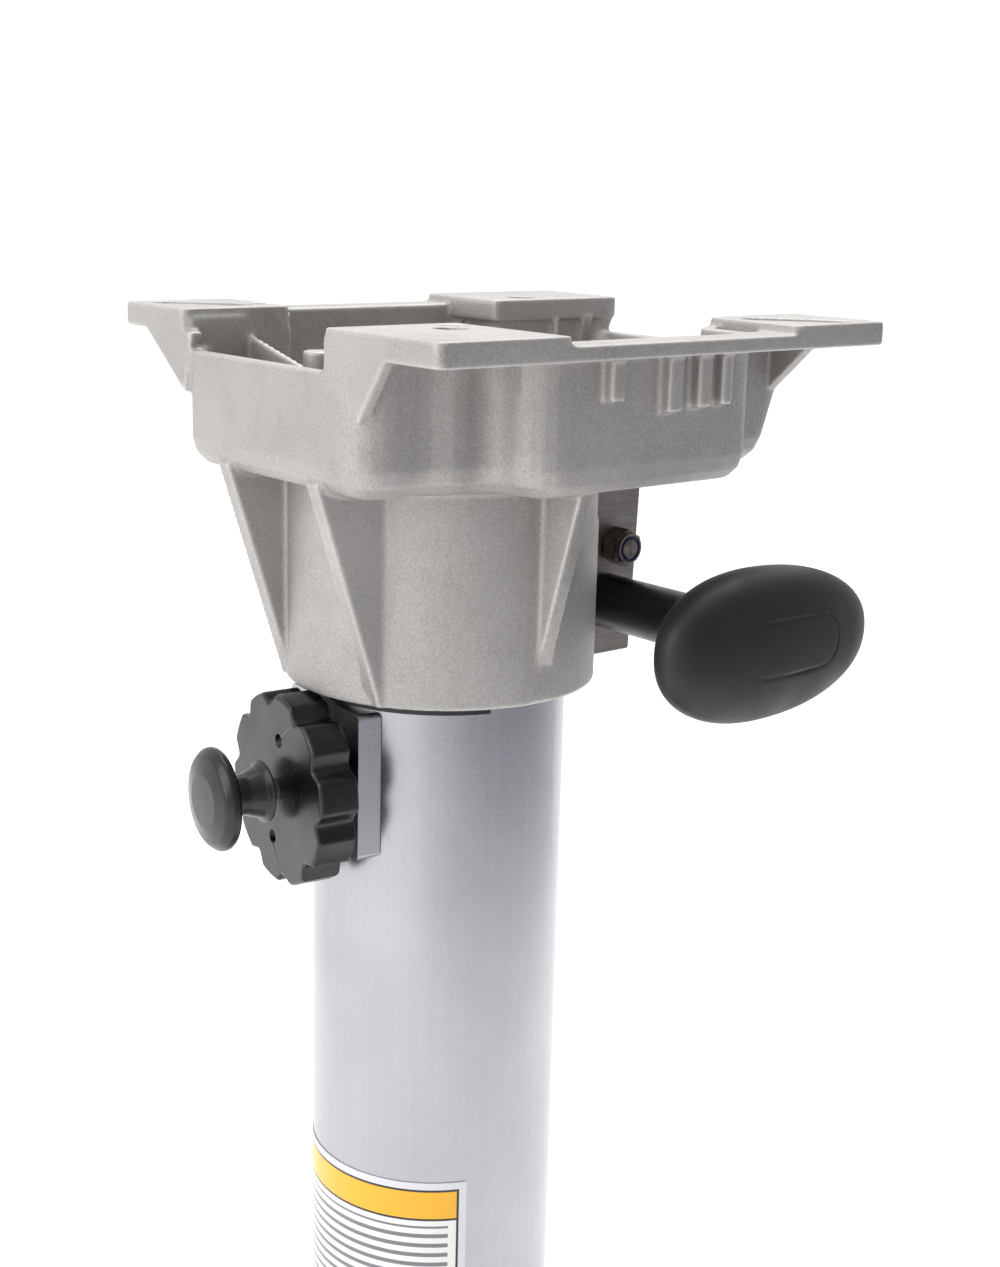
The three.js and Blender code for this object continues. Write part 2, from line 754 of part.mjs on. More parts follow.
// The paddle: a full egg, blunter at its near end and flatter in front, with a bored boss at its back.
const eggPower = 2.2; // 2 is an ellipsoid; higher is fuller
function paddleKnob() {
  const egg = new THREE.SphereGeometry(1, 28, 16);
  const place = egg.getAttribute("position");
  for (let i = 0; i < place.count; i++) {
    const unit = [place.getX(i), place.getY(i), place.getZ(i)];
    const full = unit.reduce((sum, v) => sum + Math.abs(v) ** eggPower, 0) ** (-1 / eggPower);
    const [x, y, z] = unit.map((v) => v * full);
    const flat = y < 0 ? 0.82 : 1;
    place.setXYZ(i, x * paddleHalf.x, y * paddleHalf.y * flat, z * paddleHalf.z * (1 - 0.08 * x));
  }
  egg.translate(leverX + paddleShift, -paddleReach, -leverDrop + paddleRise);
  const boss = rod(
    leverR + 4.6, -paddleReach, -paddleReach + paddleHalf.y + 3, "y", [leverX, 0, -leverDrop], 30,
  );
  const bore = rod(
    leverR + gap, -paddleReach + 6 - gap, -paddleReach + 40, "y", [leverX, 0, -leverDrop], 30,
  );
  return cut(solid(egg).add(boss), bore);
}

function pivotNut() {
  const across = nutFlats / Math.sqrt(3);
  const [back, front] = [plateFront - gap, plateFront - gap - nutThick];
  const hex = turned(
    [[0, front], [across, front], [across, back], [0, back]], "y", [pivotX, 0, -pivotDrop], 6,
  );
  const collar = rod(nutFlats / 2 - 0.4, front - 1.2, front + 1, "y", [pivotX, 0, -pivotDrop], 20);
  const seat = rod(nutFlats / 2 - 1.1, front - 2, front + 1.2, "y", [pivotX, 0, -pivotDrop], 20);
  return cut(
    join(hex, collar), seat,
    rod(pivotR + gap, front - 3, back + 1, "y", [pivotX, 0, -pivotDrop], 20),
  );
}

function nutInsert() {
  const front = plateFront - gap - nutThick;
  return sleeve(
    pivotR + gap, nutFlats / 2 - 1.1 - gap / 2, front - 0.9, front + 0.9, "y",
    [pivotX, 0, -pivotDrop], 20,
  );
}

function pivotBolt() {
  const back = lugFront + lugThick + gap;
  const shank = rod(pivotR, plateFront - nutThick - 1.6, back + 1, "y", [pivotX, 0, -pivotDrop], 20);
  return shank.add(
    turned(
      [[0, back], [5.7, back], [5.7, back + 3.4], [5.1, back + 4], [0, back + 4]], "y",
      [pivotX, 0, -pivotDrop], 6,
    ),
  );
}

add(mount, "lever_plate", leverPlate(), steel());
add(mount, "lever_tube", leverTube(), black());
add(mount, "paddle_knob", paddleKnob(), black());
add(mount, "pivot_bolt", pivotBolt(), plated());
add(mount, "pivot_locknut", pivotNut(), plated());
add(mount, "locknut_insert", nutInsert(), nylon());
add(
  mount, "pivot_bush",
  sleeve(pivotR + gap, 4.4, plateBack + gap, lugFront - gap, "y", [pivotX, 0, -pivotDrop], fine),
  nylon(),
);
add(
  mount, "lever_spring",
  coil(6, 1, plateBack + 0.5, lugFront - 0.4, 1.6, "y", [pivotX, 0, -pivotDrop]), steel(),
);

// ---- height clamp and pull pin, in the clamp's own frame with the knobs along -X ----

const knobBack = blockFace + knobStandOff;
const knobFace = knobBack + knobThick;
const bossFace = knobFace + knobBoss;
const stemInner = postR + 3.4;
const stemFloor = stemInner + 4;
const collarIn = stemFloor + gap;

function clampBlock() {
  const outline = plateOutline(
    [-blockHalfWidth, blockHalfWidth], [blockRise - blockHalfHeight, blockRise + blockHalfHeight],
    1.5,
  );
  const slab = extruded(outline, "x", -blockFace, -Math.sqrt(columnR ** 2 - blockHalfWidth ** 2) - 0.2);
  const screws = [-1, 1].map((side) =>
    turned(
      [
        [0, -blockFace - 1], [3.8, -blockFace - 1], [3.8, -blockFace + 0.2],
        [blockScrewR + gap, -blockFace + blockProud - 0.1], [blockScrewR + gap, 0], [0, 0],
      ],
      "x", [0, 0, blockRise + side * blockScrewRise], 20,
    ),
  );
  return cut(
    slab,
    rod(
      columnR + gap, blockRise - blockHalfHeight - 1, blockRise + blockHalfHeight + 1, "z",
      [0, 0, 0], round,
    ),
    rod(nutR + gap, -blockFace - 1, 0, "x", [0, 0, 0], 32),
    ...screws,
  );
}

function blockScrew(side) {
  const at = [0, 0, blockRise + side * blockScrewRise];
  const inner = -columnR + columnWall - 1;
  return turned(
    [
      [0, -blockFace + 0.3], [3.4, -blockFace + 0.3], [blockScrewR, -blockFace + blockProud - 0.2],
      [blockScrewR, inner], [0, inner],
    ],
    "x", at, 20,
  );
}

function clampKnob() {
  const outline = [];
  const steps = 6;
  for (let i = 0; i < knobLobes * steps; i++) {
    const a = (i * 360) / (knobLobes * steps);
    const dip = Math.max(0, Math.cos(degrees(a * knobLobes))) ** 1.3;
    outline.push(onCircle(knobR - knobDip * dip, a + 9));
  }
  const body = extruded(outline, "x", -knobFace, -knobBack);
  const boss = turned(
    [
      [0, -bossFace], [knobBossR - 1.2, -bossFace], [knobBossR, -bossFace + 1.4],
      [knobBossR, -knobFace + 1], [0, -knobFace + 1],
    ],
    "x", [0, 0, 0], 32,
  );
  const holes = [-1, 1].map((side) =>
    rod(2, -knobFace - 1, -knobBack + 1, "x", [0, -knobHoleAside * side, knobHoleRise * side], 16),
  );
  const stemSeat = rod(stemR + gap, -knobFace, -knobBack + 1, "x", [0, 0, 0], 32);
  return cut(
    join(body, boss), ...holes, stemSeat,
    rod(pinR + gap, -bossFace - 1, -knobFace + 1, "x", [0, 0, 0], fine),
  );
}

function clampStem() {
  const bore = rod(stemBore, -knobFace - 1, -stemFloor, "x", [0, 0, 0]);
  const guide = rod(pinR + gap, -stemFloor - 1, -stemInner + 1, "x", [0, 0, 0]);
  return cut(rod(stemR, -knobFace + gap, -stemInner, "x", [0, 0, 0], 32), bore, guide);
}

function pullPin() {
  return join(
    rod(pinR, -bossFace - headOut + 1, -postR - 0.5, "x", [0, 0, 0], 20),
    rod(stemBore - 0.5, -collarIn - 1.6, -collarIn, "x", [0, 0, 0]),
  );
}

function pullKnob() {
  const neck = bossFace + 0.8;
  const head = bossFace + headOut;
  const profile = [
    [0, -head - 5.8], [headR * 0.6, -head - 5.4], [headR * 0.88, -head - 4.2], [headR, -head - 2.4],
    [headR - 0.4, -head - 0.8],
    [headR * 0.8, -head], [6, -head + 1], [5.7, -neck - 6], [7, -neck - 2.6], [9.4, -neck], [0, -neck],
  ];
  const seat = rod(pinR + gap, -head + gap, -neck + 1, "x", [0, 0, 0], 20);
  return cut(turned(profile, "x", [0, 0, 0], 28), seat);
}

add(clamp, "clamp_block", clampBlock(), anodised());
add(clamp, "block_screw_upper", blockScrew(1), plated());
add(clamp, "block_screw_lower", blockScrew(-1), plated());
add(
  clamp, "clamp_nut",
  sleeve(stemR + gap, nutR, -blockFace, -columnR + columnWall, "x", [0, 0, 0], 32), plated(),
);
add(clamp, "clamp_stem", clampStem(), steel());
add(
  clamp, "clamp_shoe",
  sleeve(pinR + gap, 7.4, -stemInner + gap, -postR - 0.5, "x", [0, 0, 0], fine),
  paint(0xb08a4a, 0.4, 1),
);
add(clamp, "clamp_knob", clampKnob(), black());
add(clamp, "lock_pin", pullPin(), steel());
add(clamp, "pull_knob", pullKnob(), black());
add(clamp, "pin_spring", coil(4.3, 0.7, -knobFace + 1, -collarIn - 2, 4, "x", [0, 0, 0]), steel());

export default pedestal;
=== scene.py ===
# The looks of a swivel seat pedestal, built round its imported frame, in metres
import json
import math

import bmesh
import bpy
import numpy as np
from mathutils import Matrix, Vector


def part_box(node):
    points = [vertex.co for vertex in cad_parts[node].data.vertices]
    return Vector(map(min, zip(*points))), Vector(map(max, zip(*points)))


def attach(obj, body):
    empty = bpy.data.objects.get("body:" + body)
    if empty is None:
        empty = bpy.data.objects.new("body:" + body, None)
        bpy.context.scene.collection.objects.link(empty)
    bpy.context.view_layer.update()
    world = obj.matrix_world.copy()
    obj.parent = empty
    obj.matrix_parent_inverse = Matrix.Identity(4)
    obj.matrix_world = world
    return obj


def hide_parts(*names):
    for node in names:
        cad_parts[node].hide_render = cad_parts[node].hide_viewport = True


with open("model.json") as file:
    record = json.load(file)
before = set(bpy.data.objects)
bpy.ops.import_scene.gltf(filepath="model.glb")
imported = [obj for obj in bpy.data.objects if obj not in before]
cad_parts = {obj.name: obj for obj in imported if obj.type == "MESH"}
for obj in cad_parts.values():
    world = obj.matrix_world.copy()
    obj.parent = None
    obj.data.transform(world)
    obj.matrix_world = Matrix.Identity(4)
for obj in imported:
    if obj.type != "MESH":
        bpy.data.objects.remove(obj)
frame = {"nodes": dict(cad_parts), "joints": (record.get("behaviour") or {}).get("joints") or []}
nodes = frame["nodes"]
joints = {joint["name"]: joint for joint in frame["joints"]}
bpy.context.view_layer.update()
mm = 0.001


def linear(hexColour):
    channels = [int(hexColour[i:i + 2], 16) / 255 for i in (1, 3, 5)]
    return tuple(c / 12.92 if c < 0.04045 else ((c + 0.055) / 1.055) ** 2.4 for c in channels) + (1.0,)


def addNode(tree, kind, inputs, output=0, **settings):
    # adds a node, links an input given as a socket and sets any other, and gives back one output
    # MapRange inputs 0 to 4 are the value, its low and high ends, and what they become
    # Mix inputs 0, 6 and 7 are the share and the two colours, and its output 2 is the colour
    node = tree.nodes.new("ShaderNode" + kind)
    for name, value in settings.items():
        setattr(node, name, value)
    for socket, value in inputs.items():
        if isinstance(value, bpy.types.NodeSocket):
            tree.links.new(value, node.inputs[socket])
        else:
            node.inputs[socket].default_value = value
    return node.outputs[output]


def newMaterial(name, shader):
    material = bpy.data.materials.new(name)
    material.use_nodes = True
    tree = material.node_tree
    surface = tree.nodes["Principled BSDF"]
    for socket, value in shader.items():
        surface.inputs[socket].default_value = value
    return material, tree, surface, addNode(tree, "TexCoord", {}, "Object")


def blastedCastAluminium():
    # die-cast aluminium, shot-blasted: a dull grey, barely warm, with a fine sandy tooth
    # and edges made paler wherever the surface is sharply convex
    material, tree, surface, place = newMaterial("blastedCastAluminium", {"Metallic": 0.6})
    clouds = addNode(tree, "TexNoise", {"Vector": place, "Scale": 1 / (30 * mm), "Detail": 4.0})
    stains = addNode(
        tree, "TexNoise", {"Vector": place, "Scale": 1 / (9 * mm), "Detail": 4.0, "Roughness": 0.7}
    )
    tooth = addNode(
        tree, "TexNoise", {"Vector": place, "Scale": 1 / (0.6 * mm), "Detail": 2.0, "Roughness": 0.7}
    )
    swell = addNode(tree, "TexNoise", {"Vector": place, "Scale": 1 / (3.5 * mm)})
    paleCue = addNode(tree, "NewGeometry", {}, "Pointiness")
    cloudy = addNode(tree, "MapRange", {0: clouds, 1: 0.3, 2: 0.7})
    stained = addNode(tree, "MapRange", {0: stains, 1: 0.52, 2: 0.75, 4: 0.22})
    bright = addNode(tree, "MapRange", {0: tooth, 1: 0.45, 2: 0.7, 4: 0.36})
    dim = addNode(tree, "MapRange", {0: tooth, 1: 0.3, 2: 0.5, 3: 0.3, 4: 0.0})
    # edges made paler where the surface is sharply convex, going by its pointiness
    paleEdges = addNode(tree, "MapRange", {0: paleCue, 1: 0.515, 2: 0.56, 4: 0.5})
    colour = {0: cloudy, 6: linear("#a5a29f"), 7: linear("#b2afac")}
    colour = addNode(tree, "Mix", colour, 2, data_type="RGBA")
    colour = addNode(tree, "Mix", {0: stained, 6: colour, 7: linear("#8f8883")}, 2, data_type="RGBA")
    colour = addNode(tree, "Mix", {0: bright, 6: colour, 7: linear("#cccac7")}, 2, data_type="RGBA")
    colour = addNode(tree, "Mix", {0: dim, 6: colour, 7: linear("#85817e")}, 2, data_type="RGBA")
    colour = addNode(tree, "Mix", {0: paleEdges, 6: colour, 7: linear("#dcdad7")}, 2, data_type="RGBA")
    fine = addNode(tree, "Bump", {"Height": tooth, "Distance": 0.06 * mm})
    coarse = addNode(tree, "Bump", {"Height": swell, "Distance": 0.1 * mm, "Normal": fine})
    tree.links.new(colour, surface.inputs["Base Color"])
    dulled = addNode(tree, "MapRange", {0: stains, 1: 0.3, 2: 0.7, 3: 0.5, 4: 0.62})
    tree.links.new(dulled, surface.inputs["Roughness"])
    tree.links.new(coarse, surface.inputs["Normal"])
    return material


def clearAnodisedAluminium():
    # extruded tube, satin anodised: silvery with a trace of violet, fine pitting,
    # and faint lines down its length
    material, tree, surface, place = newMaterial("clearAnodisedAluminium", {"Metallic": 1.0})
    lengthwise = addNode(tree, "Mapping", {"Vector": place, "Scale": (1.0, 1.0, 0.02)})
    lines = addNode(tree, "TexNoise", {"Vector": lengthwise, "Scale": 1 / (1.6 * mm), "Detail": 3.0})
    pits = addNode(tree, "TexNoise", {"Vector": place, "Scale": 1 / (0.55 * mm), "Roughness": 0.7})
    haze = addNode(tree, "TexNoise", {"Vector": place, "Scale": 1 / (40 * mm)})
    hazy = addNode(tree, "MapRange", {0: haze, 1: 0.3, 2: 0.7})
    lined = addNode(tree, "MapRange", {0: lines, 1: 0.3, 2: 0.7, 4: 0.2})
    colour = addNode(tree, "Mix", {0: hazy, 6: linear("#a7a6ab"), 7: linear("#b0afb4")}, 2, data_type="RGBA")
    colour = addNode(tree, "Mix", {0: lined, 6: colour, 7: linear("#9b9aa0")}, 2, data_type="RGBA")
    pitted = addNode(tree, "Bump", {"Height": pits, "Distance": 0.008 * mm})
    drawn = addNode(tree, "Bump", {"Height": lines, "Distance": 0.006 * mm, "Normal": pitted})
    tree.links.new(colour, surface.inputs["Base Color"])
    dulled = addNode(tree, "MapRange", {0: pits, 1: 0.3, 2: 0.7, 3: 0.26, 4: 0.36})
    tree.links.new(dulled, surface.inputs["Roughness"])
    tree.links.new(drawn, surface.inputs["Normal"])
    return material


def rolledStainless():
    # stamped from rolled sheet: a grey with some brown in it, a fine grain one way
    material, tree, surface, place = newMaterial("rolledStainless", {"Metallic": 1.0})
    crosswise = addNode(tree, "Mapping", {"Vector": place, "Scale": (0.06, 1.0, 1.0)})
    grain = addNode(tree, "TexNoise", {"Vector": crosswise, "Scale": 1 / (0.9 * mm), "Detail": 3.0})
    marks = addNode(tree, "TexNoise", {"Vector": place, "Scale": 1 / (6 * mm), "Detail": 3.0})
    grained = addNode(tree, "MapRange", {0: grain, 1: 0.3, 2: 0.7})
    marked = addNode(tree, "MapRange", {0: marks, 1: 0.3, 2: 0.7, 4: 0.4})
    colour = {0: grained, 6: linear("#85817d"), 7: linear("#989490")}
    colour = addNode(tree, "Mix", colour, 2, data_type="RGBA")
    colour = addNode(tree, "Mix", {0: marked, 6: colour, 7: linear("#767069")}, 2, data_type="RGBA")
    tree.links.new(colour, surface.inputs["Base Color"])
    dulled = addNode(tree, "MapRange", {0: marks, 1: 0.3, 2: 0.7, 3: 0.32, 4: 0.46})
    tree.links.new(dulled, surface.inputs["Roughness"])
    tree.links.new(addNode(tree, "Bump", {"Height": grain, "Distance": 0.01 * mm}), surface.inputs["Normal"])
    return material


def zincPlatedSteel():
    # small turned and headed parts under dull zinc: dark, with brighter wrench-worn places
    material, tree, surface, place = newMaterial("zincPlatedSteel", {"Metallic": 1.0})
    bloom = addNode(tree, "TexNoise", {"Vector": place, "Scale": 1 / (2.4 * mm), "Detail": 3.0})
    tooth = addNode(tree, "TexNoise", {"Vector": place, "Scale": 1 / (0.5 * mm)})
    bloomed = addNode(tree, "MapRange", {0: bloom, 1: 0.3, 2: 0.7})
    colour = {0: bloomed, 6: linear("#5a564f"), 7: linear("#85807a")}
    colour = addNode(tree, "Mix", colour, 2, data_type="RGBA")
    tree.links.new(colour, surface.inputs["Base Color"])
    dulled = addNode(tree, "MapRange", {0: bloom, 1: 0.3, 2: 0.7, 3: 0.26, 4: 0.42})
    tree.links.new(dulled, surface.inputs["Roughness"])
    tree.links.new(addNode(tree, "Bump", {"Height": tooth, "Distance": 0.012 * mm}), surface.inputs["Normal"])
    return material


def hardDrawnWire():
    # hard-drawn spring wire: grey, with a fine uneven tooth
    material, tree, surface, place = newMaterial("hardDrawnWire", {"Metallic": 1.0, "Roughness": 0.32})
    tooth = addNode(tree, "TexNoise", {"Vector": place, "Scale": 1 / (0.4 * mm)})
    colour = addNode(tree, "Mix", {0: tooth, 6: linear("#77756f"), 7: linear("#a5a39e")}, 2, data_type="RGBA")
    tree.links.new(colour, surface.inputs["Base Color"])
    tree.links.new(addNode(tree, "Bump", {"Height": tooth, "Distance": 0.008 * mm}), surface.inputs["Normal"])
    return material


def blackBakedSteel():
    # tube with a baked black coat: deep black, half gloss, a slight orange peel
    material, tree, surface, place = newMaterial("blackBakedSteel", {"IOR": 1.5})
    peel = addNode(tree, "TexNoise", {"Vector": place, "Scale": 1 / (1.4 * mm)})
    dust = addNode(tree, "TexNoise", {"Vector": place, "Scale": 1 / (5 * mm), "Detail": 3.0})
    dusty = addNode(tree, "MapRange", {0: dust, 1: 0.3, 2: 0.7})
    colour = addNode(tree, "Mix", {0: dusty, 6: linear("#0c0b0b"), 7: linear("#171513")}, 2, data_type="RGBA")
    tree.links.new(colour, surface.inputs["Base Color"])
    dulled = addNode(tree, "MapRange", {0: dust, 1: 0.3, 2: 0.7, 3: 0.28, 4: 0.44})
    tree.links.new(dulled, surface.inputs["Roughness"])
    tree.links.new(addNode(tree, "Bump", {"Height": peel, "Distance": 0.02 * mm}), surface.inputs["Normal"])
    return material


def mouldedPlastic(name, dark, pale, roughness, grain, depth):
    # plastic from a spark-eroded or polished tool: one even colour, a soft sheen,
    # and a grain of so many mm across and deep
    material, tree, surface, place = newMaterial(name, {"IOR": 1.53})
    grit = addNode(tree, "TexNoise", {"Vector": place, "Scale": 1 / (grain * mm), "Roughness": 0.7})
    wear = addNode(tree, "TexNoise", {"Vector": place, "Scale": 1 / (11 * mm), "Detail": 3.0})
    paleCue = addNode(tree, "MapRange", {0: wear, 1: 0.3, 2: 0.7})
    colour = addNode(tree, "Mix", {0: paleCue, 6: linear(dark), 7: linear(pale)}, 2, data_type="RGBA")
    sheen = addNode(tree, "MapRange", {0: wear, 1: 0.3, 2: 0.7, 3: roughness - 0.05, 4: roughness + 0.08})
    tree.links.new(colour, surface.inputs["Base Color"])
    tree.links.new(sheen, surface.inputs["Roughness"])
    tree.links.new(addNode(tree, "Bump", {"Height": grit, "Distance": depth * mm}), surface.inputs["Normal"])
    return material


def turnedBrass():
    # brass turned from bar: warm yellow with a fine uneven tooth
    material, tree, surface, place = newMaterial("turnedBrass", {"Metallic": 1.0, "Roughness": 0.3})
    bloom = addNode(tree, "TexNoise", {"Vector": place, "Scale": 1 / (2 * mm)})
    tooth = addNode(tree, "TexNoise", {"Vector": place, "Scale": 1 / (0.4 * mm)})
    colour = addNode(tree, "Mix", {0: bloom, 6: linear("#a98a4e"), 7: linear("#c2a262")}, 2, data_type="RGBA")
    tree.links.new(colour, surface.inputs["Base Color"])
    tree.links.new(addNode(tree, "Bump", {"Height": tooth, "Distance": 0.01 * mm}), surface.inputs["Normal"])
    return material


def mattWhitePaint():
    # a studio floor: flat white with no gloss, lit from within a little so that it never greys
    shader = {"Roughness": 0.9, "Emission Strength": 0.3}
    material, tree, surface, place = newMaterial("mattWhitePaint", shader)
    patches = addNode(tree, "TexNoise", {"Vector": place, "Scale": 1 / (300 * mm)})
    colour = {0: patches, 6: linear("#f7f7f7"), 7: linear("#fbfbfb")}
    colour = addNode(tree, "Mix", colour, 2, data_type="RGBA")
    tree.links.new(colour, surface.inputs["Base Color"])
    tree.links.new(colour, surface.inputs["Emission Color"])
    return material


castAluminium = blastedCastAluminium()
anodised = clearAnodisedAluminium()
stainless = rolledStainless()
zinc = zincPlatedSteel()
wire = hardDrawnWire()
blackTube = blackBakedSteel()
knobBlack = mouldedPlastic("glossBlackNylon", "#070708", "#0c0c0e", 0.28, 0.5, 0.006)
paddleBlack = mouldedPlastic("mattBlackNylon", "#08080a", "#0e0e11", 0.5, 0.6, 0.018)
blackNylon = mouldedPlastic("plainBlackNylon", "#0c0c0c", "#161616", 0.45, 0.6, 0.01)
whiteNylon = mouldedPlastic("naturalNylon", "#d6d2c6", "#e6e3da", 0.45, 0.6, 0.01)
blueNylon = mouldedPlastic("blueNylon", "#14245a", "#203678", 0.45, 0.6, 0.01)
brass = turnedBrass()
print("materials made")


def vertices(nodeName):
    return np.array([v.co for v in nodes[nodeName].data.vertices], float)


def reach(nodeName, direction, origin):
    # how far the node lies along a direction, nearest and farthest
    distances = (vertices(nodeName) - np.array(origin)) @ np.array(direction)
    return distances.min(), distances.max()


def radiusAbout(nodeName, direction, origin=(0, 0, 0)):
    offsets = vertices(nodeName) - np.array(origin)
    flat = offsets - np.outer(offsets @ np.array(direction), np.array(direction))
    return float(np.linalg.norm(flat, axis=1).max())


def settle(piece, body, slot, material, *replaced):
    # gives a piece its material, the body it rides on and the node it stands for
    piece.data.materials.clear()
    piece.data.materials.append(material)
    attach(piece, body)
    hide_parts(*replaced)
    return piece


def newPiece(name, mesh):
    piece = bpy.data.objects.new(name, mesh)
    bpy.context.scene.collection.objects.link(piece)
    return piece


def shadeByAngle(mesh, angle):
    shape = bmesh.new()
    shape.from_mesh(mesh)
    for face in shape.faces:
        face.smooth = True
    for edge in shape.edges:
        edge.smooth = len(edge.link_faces) == 2 and edge.calc_face_angle(0) < math.radians(angle)
    shape.to_mesh(mesh)
    shape.free()


# welds in metres and angles in degrees
ringWeld = 1e-7
weldDistance = 2e-6
flatEnough = 0.6
sharpAngle = 30


def skin(name, rings, angle=35):
    # a capped skin through rings with the same number of points, sharp past an angle
    count = len(rings[0])
    points = [tuple(p) for ring in rings for p in ring]
    faces = []
    for a in range(len(rings) - 1):
        for i in range(count):
            j = (i + 1) % count
            faces.append((a * count + i, a * count + j, (a + 1) * count + j, (a + 1) * count + i))
    faces.append(tuple(reversed(range(count))))
    faces.append(tuple(range((len(rings) - 1) * count, len(rings) * count)))
    mesh = bpy.data.meshes.new(name)
    mesh.from_pydata(points, [], faces)
    shape = bmesh.new()
    shape.from_mesh(mesh)
    bmesh.ops.remove_doubles(shape, verts=shape.verts, dist=ringWeld)
    bmesh.ops.recalc_face_normals(shape, faces=shape.faces)
    shape.to_mesh(mesh)
    shape.free()
    shadeByAngle(mesh, angle)
    return newPiece(name, mesh)


def rounded(profile, steps):
    # a profile of (r, z), where a point with a third number has its corner rounded to about that
    # radius, using up less than half of each side
    made = [profile[0][:2]]
    for i in range(1, len(profile) - 1):
        p = Vector(profile[i][:2])
        a, b = Vector(profile[i - 1][:2]) - p, Vector(profile[i + 1][:2]) - p
        r = profile[i][2] if len(profile[i]) > 2 else 0
        if r <= 0 or a.length < 1e-9 or b.length < 1e-9:
            made.append(tuple(p))
            continue
        half = a.angle(b) / 2
        if half > math.radians(89.5):
            made.append(tuple(p))
            continue
        back = min(r / math.tan(half), a.length * 0.49, b.length * 0.49)
        first, last = p + a.normalized() * back, p + b.normalized() * back
        for s in range(steps + 1):
            t = s / steps
            made.append(tuple(first * (1 - t) ** 2 + p * (2 * t * (1 - t)) + last * t ** 2))
    made.append(profile[-1][:2])
    return made


def turned(name, profile, place, segments, angle=35):
    # profile points are (r, z) about the place's own Z
    turns = [2 * math.pi * i / segments for i in range(segments)]
    rings = []
    for r, z in profile:
        rings.append([place @ Vector((r * math.cos(a), r * math.sin(a), z)) for a in turns])
    return skin(name, rings, angle)


def axisPlace(direction, origin):
    # a frame whose Z is the direction and whose X is level
    z = Vector(direction).normalized()
    x = Vector((0, 0, 1)).cross(z).normalized() if abs(z.z) < 0.9 else Vector((1, 0, 0))
    turn = Matrix((x, z.cross(x), z)).transposed().to_4x4()
    return Matrix.Translation(origin) @ turn


def remade(nodeName, name, body, slot, material, edge):
    # the node's own shape, welded, with small round edges
    mesh = nodes[nodeName].data.copy()
    mesh.materials.clear()
    shape = bmesh.new()
    shape.from_mesh(mesh)
    bmesh.ops.remove_doubles(shape, verts=shape.verts, dist=weldDistance)
    flat = math.radians(flatEnough)
    bmesh.ops.dissolve_limit(shape, angle_limit=flat, verts=shape.verts, edges=shape.edges)
    shape.to_mesh(mesh)
    shape.free()
    if mesh.has_custom_normals:
        mesh.attributes.remove(mesh.attributes["custom_normal"])
    shadeByAngle(mesh, sharpAngle)
    piece = newPiece(name, mesh)
    bevel = piece.modifiers.new("roundEdges", "BEVEL")
    bevel.width = edge * mm
    bevel.segments = 2
    bevel.limit_method = "ANGLE"
    bevel.angle_limit = math.radians(sharpAngle)
    bevel.harden_normals = False
    bevel.use_clamp_overlap = True
    piece.modifiers.new("flatFaces", "WEIGHTED_NORMAL")
    return settle(piece, body, slot, material, nodeName)


def evaluated(piece):
    # the piece's mesh with its modifiers applied
    bpy.context.view_layer.update()
    return bpy.data.meshes.new_from_object(piece.evaluated_get(bpy.context.evaluated_depsgraph_get()))


def combine(piece, operation, others):
    # joins or cuts with other closed pieces, which are used up
    for other in others:
        boolean = piece.modifiers.new("combine", "BOOLEAN")
        boolean.operation = operation
        boolean.solver = "EXACT"
        boolean.object = other
    piece.data = evaluated(piece)
    piece.modifiers.clear()
    for other in others:
        bpy.data.objects.remove(other)


# the voxel in mm and the smoothing set how round the cast corners are
casting = {"voxel": 0.7, "smoothing": 4, "smoothBy": 0.5}


def castSeatMount():
    # the casting's own shape, resurfaced finely and smoothed, which gives every corner a cast radius
    mesh = nodes["seat_mount_casting"].data.copy()
    shape = bmesh.new()
    shape.from_mesh(mesh)
    bmesh.ops.remove_doubles(shape, verts=shape.verts, dist=weldDistance)
    shape.to_mesh(mesh)
    shape.free()
    piece = newPiece("seatMountCasting", mesh)
    remesh = piece.modifiers.new("resurface", "REMESH")
    remesh.mode = "VOXEL"
    remesh.voxel_size = casting["voxel"] * mm
    remesh.use_smooth_shade = True
    smooth = piece.modifiers.new("castRadii", "SMOOTH")
    smooth.factor = casting["smoothBy"]
    smooth.iterations = casting["smoothing"]
    made = evaluated(piece)
    piece.modifiers.clear()
    piece.data = made
    for face in made.polygons:
        face.use_smooth = True
    return settle(piece, "seat_mount", "cast_aluminium", castAluminium, "seat_mount_casting")


castSeatMount()


